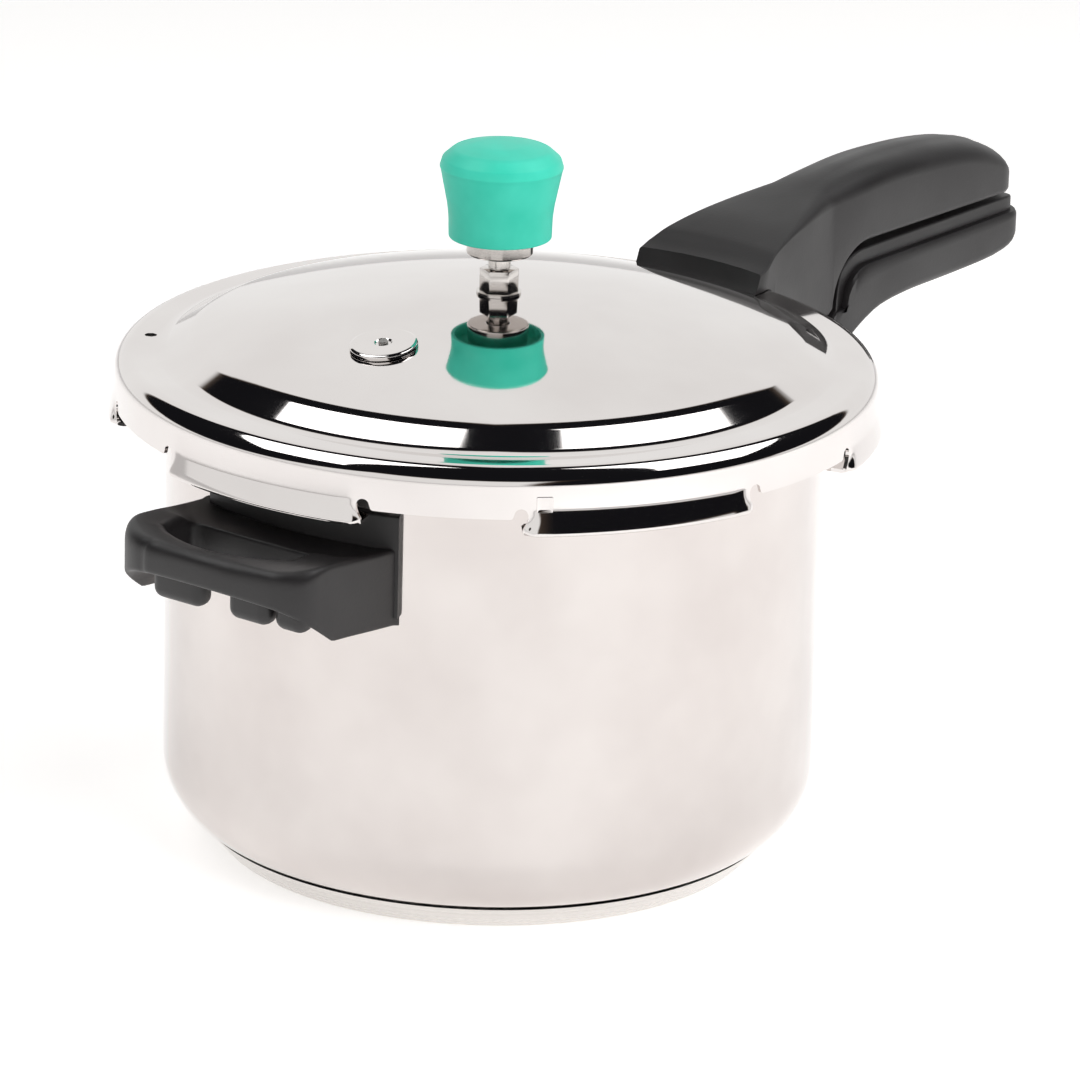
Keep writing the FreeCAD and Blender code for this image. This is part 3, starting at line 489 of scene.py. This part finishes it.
def handleSection(bm, x, section, steps=6):
    # one cross-section: crowned top, rounded shoulders, an optional ledge, and rounded bottom corners
    half, bottom, top = section["half"], section["bottom"], section["top"]
    shoulder, belly, (drop, inset) = section["shoulder"], section["belly"], section["ledge"]
    points = []
    for share in (0, 0.35, 0.7):
        points.append(((half - inset - shoulder) * share, top - section["crown"] * share ** 2))
    edge = top - section["crown"]
    for i in range(steps + 1):
        out, up = rounding(i / steps)
        points.append((half - inset - shoulder * (1 - out), edge - section["fall"] * (1 - up)))
    if drop:
        points += [(half - inset, top - drop), (half - inset * 0.3, top - drop),
                   (half, top - drop - inset * 0.4)]
    low = bottom + belly
    points.append((half, (edge - section["fall"] + low) / 2))
    for i in range(steps + 1):
        out, up = rounding(i / steps)
        points.append((half - section["tuck"] * (1 - up), low - belly * out))
    points += [((half - section["tuck"]) * 0.5, bottom), (0, bottom)]
    whole = points + [(-y, z) for y, z in points[-2:0:-1]]
    ring = bmesh.ops.create_circle(bm, cap_ends=False, radius=1, segments=len(whole))["verts"]
    for vert, (y, z) in zip(ring, whole):
        vert.co = Vector((x, y, z)) * mm
    return list({e for v in ring for e in v.link_edges})


def lofted(name, places, sectionAt, shapeVert, body, replaced):
    bm = bmesh.new()
    last = None
    for x in places:
        edges = handleSection(bm, x, sectionAt(x))
        if last:
            bmesh.ops.bridge_loops(bm, edges=last + edges)
        else:
            bmesh.ops.edgeloop_fill(bm, edges=edges)
        last = edges
    bmesh.ops.edgeloop_fill(bm, edges=last)
    for vert in bm.verts:
        shapeVert(vert)
    bmesh.ops.recalc_face_normals(bm, faces=bm.faces)
    return finishMesh(name, bm, phenolic, body, replaced, sharpAngle=38)


# both long handles run round one bend
bend = {"x": 190.0, "z": 140.5, "upper": 22.0, "lower": 18.8}


def bendHeight(x, radius):
    if x <= bend["x"] - radius:
        return bend["z"]
    return bend["z"] + math.sqrt(max(0, radius ** 2 - max(0, bend["x"] - x) ** 2))


# the upper handle: a wedge on the flange that narrows to the grip
upperHandle = {
    "front": 109.9, "step": 124.4, "tip": 281.9, "tipStart": 270, "tipLength": 12.0, "tipPower": 2.4,
    "rootHalf": 25.0, "gripHalf": 14.0, "taper": (114, 166), "gripEase": (122, 190), "lean": 3.2,
    "leanEase": (110, 124), "hollowEnd": 150, "undersideSlope": 0.012,
    "flange": 163.05, "skirt": 122.7, "corner": 6.0,
    "top": [(106, 168.4), (112, 170.5), (124, 174.8), (139, 179.0), (160, 183.4), (180, 186.6), (200, 188.0),
            (225, 187.2), (245, 185.4), (260, 182.6), (270, 178.8), (277, 173.4), (280.4, 169.0),
            (282, 164.5)]}


def upperSection(x):
    grip = rise(x, *upperHandle["gripEase"])
    start, end = upperHandle["taper"]
    taper = min(1, max(0, (x - start) / (end - start)))
    half = upperHandle["rootHalf"] + (upperHandle["gripHalf"] - upperHandle["rootHalf"]) * taper
    tip = max(0, x - upperHandle["tipStart"]) / upperHandle["tipLength"]
    half *= math.sqrt(max(0.05, 1 - tip ** upperHandle["tipPower"]))
    bottom = upperHandle["flange"]
    if x >= upperHandle["step"]:
        bottom = bendHeight(x, bend["upper"]) - upperHandle["undersideSlope"] * max(0, x - bend["x"])
    else:
        past = min(upperHandle["corner"], max(0, x - upperHandle["skirt"] + upperHandle["corner"]))
        bottom -= upperHandle["corner"] - math.sqrt(upperHandle["corner"] ** 2 - past ** 2)
    top = through(upperHandle["top"], x)
    tall = top - bottom
    return {"half": half, "bottom": bottom, "top": top, "crown": min(0.2 + 0.3 * grip, tall * 0.12),
            "shoulder": min(0.8 + 9.6 * grip, half * 0.74), "fall": min(0.8 + 6.6 * grip, tall * 0.4),
            "belly": min(0.6 + 1.4 * grip, tall * 0.2), "tuck": min(0.6 + 1.0 * grip, half * 0.3),
            "ledge": (0, 0)}


def upperShape(vert):
    # the front is hollowed to the lid's circles and leans back
    x, y, z = vert.co / mm
    radius = min(max(x, upperHandle["front"]), upperHandle["step"])
    share = 1 - rise(x, upperHandle["step"], upperHandle["hollowEnd"])
    hollow = radius - math.sqrt(radius ** 2 - min(abs(y), upperHandle["rootHalf"] + 1) ** 2)
    lean = upperHandle["lean"] * max(0, z - 163.0) / 8 * (1 - rise(x, *upperHandle["leanEase"]))
    vert.co.x += (lean - hollow * share) * mm


upperPlaces = [upperHandle["front"], 112, 114.4, 116.7, 118.2, 119.6, 120.8, 121.7, 122.3, 122.6, 122.75,
               upperHandle["step"] - 0.05, upperHandle["step"] + 0.05, 127, 130, 133, 136]
upperPlaces += [x / 2 for x in range(277, 334, 4)]
upperPlaces += [bend["x"] - bend["upper"] * math.cos(math.radians(a)) for a in range(3, 91, 6)]
upperPlaces += [*range(195, 270, 5), 270, 272, 274, 276, 277.5, 279, 280.2, 281.2, upperHandle["tip"]]
upper = lofted("upperHandle", upperPlaces, upperSection, upperShape, "lid", ["lid_handle"])
bored(upper, [(133.3, 0, 139, 143.6, 4.7), (151.3, 0, 139, 143.6, 4.7)])

# the lower handle: rises from the pot's wall, then follows the upper one with a gap between
lowerHandle = {
    "front": 107.8, "tip": 286.8, "tipStart": 277, "tipLength": 10.0, "tipPower": 2.4, "tipDrop": 4.0,
    "rootHalf": 17.8, "gripHalf": 14.0, "gripEase": (114, 168), "rootTop": 135.9, "rootTopEnd": 165,
    "wall": 107.6, "hollowEase": (108, 130),
    "ledge": {"bend": 13.2, "inset": 2.6, "ease": (168, 178)},
    "bottom": [(106, 93.2), (130, 104.4), (150, 113.8), (165, 121.0), (173, 125.4), (181, 130.2),
               (190, 134.6), (198, 137.0), (212, 138.1), (235, 138.3), (258, 138.7), (270, 139.4),
               (278, 141.2), (284, 145.0), (287, 149.0)]}


def lowerSection(x):
    grip = rise(x, *lowerHandle["gripEase"])
    half = lowerHandle["rootHalf"] + (lowerHandle["gripHalf"] - lowerHandle["rootHalf"]) * grip
    tip = max(0, x - lowerHandle["tipStart"]) / lowerHandle["tipLength"]
    half *= math.sqrt(max(0.05, 1 - tip ** lowerHandle["tipPower"]))
    bendStart = bend["x"] - bend["lower"]
    if x < bendStart:
        climb = rise(x, lowerHandle["rootTopEnd"], bendStart)
        top = lowerHandle["rootTop"] + (bend["z"] - lowerHandle["rootTop"]) * climb
    else:
        top = bendHeight(x, bend["lower"])
    top -= lowerHandle["tipDrop"] * (1 - math.sqrt(max(0, 1 - tip ** 2)))
    bottom = through(lowerHandle["bottom"], x)
    tall = top - bottom
    belly = rise(x, 190, 225)
    drop = max(0.3, top - bendHeight(x, lowerHandle["ledge"]["bend"]))
    inset = 0.1 + lowerHandle["ledge"]["inset"] * rise(x, *lowerHandle["ledge"]["ease"])
    return {"half": half, "bottom": bottom, "top": top, "crown": 0.2, "shoulder": min(0.9, half * 0.3),
            "fall": min(0.8, tall * 0.2), "belly": min(2.0 + 1.4 * belly, tall * 0.35),
            "tuck": min(1.5 + 1.8 * belly, half * 0.4),
            "ledge": (min(drop, tall * 0.6), min(inset, half * 0.4))}


def lowerShape(vert):
    # hollowed to the pot's wall
    x, y = vert.co.xy / mm
    wall = lowerHandle["wall"]
    share = 1 - rise(x, *lowerHandle["hollowEase"])
    vert.co.x -= share * (wall - math.sqrt(wall ** 2 - min(abs(y), 20) ** 2)) * mm


lowerPlaces = [lowerHandle["front"], 112, 118, 124, 130, 136, 142, 148, 154, 160, 165, 167, 169, 170.5]
lowerPlaces += [bend["x"] - bend["lower"] * math.cos(math.radians(a)) for a in range(3, 91, 6)]
lowerPlaces += [194, 198, 202, 206, 210, 215, *range(220, 275, 6), 277, 279, 281, 283, 284.6, 285.8,
                lowerHandle["tip"]]
lower = lofted("lowerHandle", lowerPlaces, lowerSection, lowerShape, "pot", ["body_handle"])
bored(lower, [(139, 0, 90, 110.1, 4.7)])
print("long handles made")

# the helper handle: a loop round a finger slot, ribbed underneath, on a plate that follows the wall
helper = {"wall": 106.05, "near": (39.8, 12.0), "far": (37.4, 18.0), "reach": 151.4, "bow": 260.0,
          "centre": (-129.5, 0), "slotInner": -120.0, "slotOuter": -142.2, "slotHalf": 24.5, "slotBow": 44.0,
          "slotCorner": 3.0, "slotDepth": 9.5, "slotTop": 132.8, "slotBottom": 121.0,
          "wallEase": (-126, -120.2), "wallTopDrop": 3.2, "wallBottomDrop": 9.0, "stations": 168}
# heights along the loop's outer edge, by x: at the wall, where its underside starts to sweep up, at its
# crest and at its front; "rest" is the underside behind the plate
helperRim = {"wall": -95.0, "sweepStart": -130.6, "crest": -140.0, "front": -152.0, "topWall": 130.5,
             "topCrest": 133.6, "topSlope": 0.9 / 13, "bottomWall": 104.8, "bottomSweep": 107.8,
             "bottomFront": 123.2, "rest": 108.5, "restHalf": 35.5}


def insideLoop(x, y):
    # is the point within the handle's outline, seen from above?
    half, corner = helper["far"] if y > 0 else helper["near"]
    if math.hypot(x, y) < helper["wall"] or abs(y) > half:
        return False
    bowCentre = -helper["reach"] + helper["bow"]
    if math.hypot(x - bowCentre, y) > helper["bow"]:
        return False
    edge = -(helper["reach"] - 1.5) + corner
    dx, dy = edge - x, abs(y) - (half - corner)
    return not (dx > 0 and dy > 0 and math.hypot(dx, dy) > corner)


def insideSlot(x, y):
    corner = helper["slotCorner"]
    if x > helper["slotInner"] or abs(y) > helper["slotHalf"]:
        return False
    if math.hypot(x - (helper["slotOuter"] + helper["slotBow"]), y) > helper["slotBow"]:
        return False
    dx, dy = x - (helper["slotInner"] - corner), abs(y) - (helper["slotHalf"] - corner)
    if dx > 0 and dy > 0 and math.hypot(dx, dy) > corner:
        return False
    dx = (helper["slotOuter"] + helper["slotDepth"]) - x
    return not (dx > 0 and dy > 0 and math.hypot(dx, dy) > corner)


def edgeAlong(angle, inside):
    # the last point inside, going out from the slot's middle
    near, far = 0.0, 80.0
    cx, cy = helper["centre"]
    for attempt in range(24):
        middle = (near + far) / 2
        if inside(cx + middle * math.cos(angle), cy + middle * math.sin(angle)):
            near = middle
        else:
            far = middle
    return cx + near * math.cos(angle), cy + near * math.sin(angle)


def rimHeights(x, y):
    # bottom and top of the loop's outer edge
    rim = helperRim
    top = rim["topWall"] + (rim["topCrest"] - rim["topWall"]) * rise(-x, -rim["wall"], -rim["crest"])
    if x < rim["crest"]:
        top = rim["topCrest"] - rim["topSlope"] * (rim["crest"] - x)
    share = (x - rim["wall"]) / (rim["sweepStart"] - rim["wall"])
    bottom = rim["bottomWall"] + (rim["bottomSweep"] - rim["bottomWall"]) * share
    if x < rim["sweepStart"]:
        share = (x - rim["sweepStart"]) / (rim["front"] - rim["sweepStart"])
        bottom = rim["bottomSweep"] + (rim["bottomFront"] - rim["bottomSweep"]) * share
    if math.hypot(x, y) < helper["wall"] + 0.6 and abs(y) < rim["restHalf"]:
        bottom = rim["rest"]
    return bottom, top


def helperRing(bm, angle):
    # one cross-section of the loop, from its outer edge to the slot
    ox, oy = edgeAlong(angle, insideLoop)
    ix, iy = edgeAlong(angle, insideSlot)
    outBottom, outTop = rimHeights(ox, oy)
    wallSide = rise(ix, *helper["wallEase"])
    inTop = helper["slotTop"] - helper["wallTopDrop"] * wallSide
    inBottom = helper["slotBottom"] - helper["wallBottomDrop"] * wallSide
    onWall = math.hypot(ox, oy) < helper["wall"] + 0.3
    wide = math.hypot(ox - ix, oy - iy)
    roundOut = 0.3 if onWall else 2.0 + 3.2 * rise(-ox, 132, 146)
    roundIn = 1.2 + 2.6 * (1 - wallSide)
    corners = [((ox, oy, outBottom), 1.6 if not onWall else 0.3),
               ((ox, oy, outTop), min(roundOut, wide * 0.45)),
               ((ix, iy, inTop), min(roundIn, wide * 0.4)), ((ix, iy, inBottom), 1.5)]
    points = []
    steps = 6
    for number, (corner, size) in enumerate(corners):
        here = Vector(corner)
        before = Vector(corners[number - 1][0]) - here
        after = Vector(corners[(number + 1) % 4][0]) - here
        a, b = here + before.normalized() * size, here + after.normalized() * size
        for i in range(steps + 1):
            t = i / steps
            points.append(a * (1 - t) ** 2 + here * 2 * t * (1 - t) + b * t ** 2)
    ring = bmesh.ops.create_circle(bm, cap_ends=False, radius=1, segments=len(points))["verts"]
    for vert, point in zip(ring, points):
        vert.co = point * mm
    return list({e for v in ring for e in v.link_edges})


farAngle, nearAngle = (math.atan2(half, -math.sqrt(helper["wall"] ** 2 - half ** 2) - helper["centre"][0])
                       for half in (helper["far"][0], helper["near"][0]))
angles = [i * math.tau / helper["stations"] for i in range(helper["stations"])]
angles = [a for a in angles if min(abs(a - farAngle), abs(a - math.tau + nearAngle)) > 0.02]
for exact in (farAngle, math.tau - nearAngle):
    angles += [exact - 0.002, exact + 0.002]
bm = bmesh.new()
rings = [helperRing(bm, angle) for angle in sorted(angles)]
for first, second in zip(rings, rings[1:] + rings[:1]):
    bmesh.ops.bridge_loops(bm, edges=first + second)

# the plate up the wall, with its top edge eased
plate = {"inner": 106.05, "outer": 108.5, "bottom": 108.0, "top": 141.2, "near": 22.1, "far": 17.5,
         "edge": 0.8, "steps": 36}
outline = [(plate["inner"], plate["bottom"]), (plate["outer"], plate["bottom"]),
           (plate["outer"], plate["top"], plate["edge"], 3), (plate["inner"], plate["top"])]
plateMesh = wire(bmesh.new(), outline)
ends = [v for v in plateMesh.verts if len(v.link_edges) == 1]
plateMesh.edges.new(ends)
bmesh.ops.rotate(plateMesh, cent=(0, 0, 0), verts=plateMesh.verts,
                 matrix=Matrix.Rotation(math.radians(180 - plate["far"]), 3, "Z"))
firstEnd = plateMesh.edges[:]
lastEnd = bmesh.ops.spin(plateMesh, geom=plateMesh.verts[:] + firstEnd, cent=(0, 0, 0), axis=(0, 0, 1),
                         angle=math.radians(plate["near"] + plate["far"]), steps=plate["steps"],
                         use_merge=False, use_duplicate=False)["geom_last"]
bmesh.ops.edgeloop_fill(plateMesh, edges=firstEnd)
bmesh.ops.edgeloop_fill(plateMesh, edges=[e for e in lastEnd if isinstance(e, bmesh.types.BMEdge)])
plateData = bpy.data.meshes.new("plate")
plateMesh.to_mesh(plateData)
plateMesh.free()
bm.from_mesh(plateData)
bpy.data.meshes.remove(plateData)

# the ribs under the outer bar: (middle, width) along the bar
ribs = {"back": -139.0, "front": -147.0, "bottom": 113.2, "top": 124.0, "edge": 3.6,
        "places": [(10.0, 20.0), (-18.0, 16.0), (-33.0, 12.0)]}
for middle, width in ribs["places"]:
    made = bmesh.ops.create_cube(bm, size=1)["verts"]
    size = Vector((ribs["back"] - ribs["front"], width, ribs["top"] - ribs["bottom"]))
    bmesh.ops.scale(bm, vec=size * mm, verts=made)
    bow = helper["bow"] - math.sqrt(helper["bow"] ** 2 - middle ** 2)
    centre = Vector(((ribs["back"] + ribs["front"]) / 2 + bow, middle, (ribs["top"] + ribs["bottom"]) / 2))
    bmesh.ops.translate(bm, vec=centre * mm, verts=made)
    edges = list({e for v in made for e in v.link_edges
                  if min(w.co.z for w in e.verts) < (ribs["bottom"] + 1) * mm})
    bmesh.ops.bevel(bm, geom=edges, offset=ribs["edge"] * mm, segments=6, profile=0.5, affect="EDGES",
                    material=-1)
bmesh.ops.recalc_face_normals(bm, faces=bm.faces)
finishMesh("helperHandle", bm, phenolic, "pot", ["helper_handle"], sharpAngle=40)
print("helper handle made")

# the other CAD pieces keep their shapes and get the materials above
dressed = {
    "base_core": rolledAluminium, "body_handle_bracket": zincSteel, "body_handle_screw": zincSteel,
    "helper_bracket": zincSteel, "helper_screw_left": zincSteel, "helper_screw_right": zincSteel,
    "lid_gasket": rubber, "lid_handle_bracket": zincSteel, "lid_handle_screw_front": zincSteel,
    "lid_handle_screw_rear": zincSteel, "vent_ring": barSteel, "vent_nut": zincSteel,
    "safety_valve_plug": softAlloy, "safety_valve_gasket": rubber,
    "safety_valve_nut": zincSteel, "weight_needle": barSteel}
for name, material in dressed.items():
    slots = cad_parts[name].data.materials
    slots.clear()
    slots.append(material)
print("CAD pieces dressed")

# studio: white floor and walls, a dark ceiling that comes down in front, one dark corner, two softboxes
# and a soft fill
toward = Vector((-0.7934, -0.6088, 0))  # from the cooker to the camera
sideways = Vector((0.6088, -0.7934, 0))  # to the camera's right
studio = {"floor": "#f4f3f2", "glow": 0.55, "wall": "#fcfcfb", "brown": "#4a3f36", "dark": "#161619",
          "strength": 1.0, "sideWeight": 0.8, "corner": (0.643, 0.766),
          "boxHeight": 1.466, "boxPower": 8.0, "boxAcross": 0.7, "boxDepth": 1.6, "boxTurn": (0.676, 0.737),
          "fillPower": 24.0, "fillSize": 1.2, "fillPlace": (1.5, 1.2, 1.2)}

bm = bmesh.new()
bmesh.ops.create_grid(bm, x_segments=1, y_segments=1, size=12)
floorMesh = bpy.data.meshes.new("floor")
bm.to_mesh(floorMesh)
bm.free()
floor = bpy.data.objects.new("floor", floorMesh)
bpy.context.scene.collection.objects.link(floor)
paper = newMaterial("whitePaper")[0]
paperShader = paper.node_tree.nodes["Principled BSDF"]
paperShader.inputs["Base Color"].default_value = srgb(studio["floor"])
paperShader.inputs["Roughness"].default_value = 0.9
paperShader.inputs["Emission Color"].default_value = srgb(studio["floor"])
paperShader.inputs["Emission Strength"].default_value = studio["glow"]
floorMesh.materials.append(paper)

world = bpy.data.worlds.new("studio")
bpy.context.scene.world = world
world.use_nodes = True
sky = world.node_tree
where = node(sky, "ShaderNodeTexCoord").outputs["Generated"]
height = node(sky, "ShaderNodeSeparateXYZ", None, {"Vector": where}).outputs["Z"]
cornerWay = toward * studio["corner"][0] + sideways * studio["corner"][1]
aside, front, corner = (
    node(sky, "ShaderNodeVectorMath", {"operation": "DOT_PRODUCT", 1: way}, {0: where}).outputs["Value"]
    for way in (sideways, toward, cornerWay))
aside = node(sky, "ShaderNodeMath", {"operation": "ABSOLUTE"}, {0: aside}).outputs["Value"]
lifted = node(sky, "ShaderNodeMath", {"operation": "MULTIPLY_ADD", 1: studio["sideWeight"]},
              {0: aside, 2: height}).outputs["Value"]
steps = {}  # each goes from 0 to 1 between its two values
for name, source, low, high in (("ceiling", lifted, 0.835, 0.90), ("frontHigh", height, 0.38, 0.50),
                                ("frontSide", front, -0.1, 0.15), ("aboveFloor", height, 0.0, 0.05),
                                ("darkCorner", corner, 0.72, 0.84)):
    between = {"interpolation_type": "SMOOTHSTEP", "From Min": low, "From Max": high}
    steps[name] = node(sky, "ShaderNodeMapRange", between, {"Value": source}).outputs["Result"]
dim = steps["ceiling"]
for first, second in (("frontHigh", "frontSide"), ("aboveFloor", "darkCorner")):
    both = node(sky, "ShaderNodeMath", {"operation": "MULTIPLY"}, {0: steps[first], 1: steps[second]})
    dim = node(sky, "ShaderNodeMath", {"operation": "MAXIMUM"}, {0: dim, 1: both.outputs[0]}).outputs[0]
stops = [(0.0, studio["wall"]), (0.55, studio["brown"]), (1.0, studio["dark"])]
shade = node(sky, "ShaderNodeValToRGB", {"stops": stops}, {"Fac": dim})
sky.links.new(shade.outputs["Color"], sky.nodes["Background"].inputs["Color"])
sky.nodes["Background"].inputs["Strength"].default_value = studio["strength"]

for name, side, along, length in (("softboxLeft", -1, 0.66, 0.88), ("softboxRight", 1, 0.853, 1.015)):
    cosine, sine = studio["boxTurn"]
    run = toward * -cosine + sideways * sine * side
    across = toward * sine + sideways * cosine * side
    data = bpy.data.lights.new(name, "AREA")
    data.shape = "RECTANGLE"
    data.size, data.size_y = length, studio["boxDepth"]
    data.energy = studio["boxPower"] * length * studio["boxDepth"]
    lamp = bpy.data.objects.new(name, data)
    bpy.context.scene.collection.objects.link(lamp)
    lamp.location = run * along + across * studio["boxAcross"] + Vector((0, 0, studio["boxHeight"]))
    lamp.rotation_euler = (0, 0, math.atan2(run.y, run.x))

# a large soft light from the camera's right, which steel doesn't mirror
data = bpy.data.lights.new("fill", "AREA")
data.size = studio["fillSize"]
data.energy = studio["fillPower"]
lamp = bpy.data.objects.new("fill", data)
bpy.context.scene.collection.objects.link(lamp)
ahead, right, up = studio["fillPlace"]
lamp.location = toward * ahead + sideways * right + Vector((0, 0, up))
lamp.rotation_euler = lamp.location.to_track_quat("Z", "Y").to_euler()
lamp.visible_glossy = False

# camera
camera = {"distance": 2.1344, "elevation": 19.084, "azimuth": -52.5, "target": (0, 0, 0.0848), "lens": 219.2,
          "roll": 1.407, "shift": (0.0448, 0.0386)}
cameraData = bpy.data.cameras.new("camera")
cameraData.sensor_width = 36
cameraData.lens = camera["lens"]
cameraData.shift_x, cameraData.shift_y = camera["shift"]
cameraData.clip_end = 50
viewer = bpy.data.objects.new("camera", cameraData)
bpy.context.scene.collection.objects.link(viewer)
azimuth, elevation = math.radians(camera["azimuth"]), math.radians(camera["elevation"])
back = Vector((math.sin(azimuth) * math.cos(elevation), -math.cos(azimuth) * math.cos(elevation),
               math.sin(elevation)))
viewer.location = Vector(camera["target"]) + back * camera["distance"]
viewer.rotation_mode = "QUATERNION"
turned = (-back).to_track_quat("-Z", "Y").to_matrix() @ Matrix.Rotation(math.radians(camera["roll"]), 3, "Z")
viewer.rotation_quaternion = turned.to_quaternion()
bpy.context.scene.camera = viewer
bpy.context.scene.view_settings.view_transform = "Standard"
print("studio made")
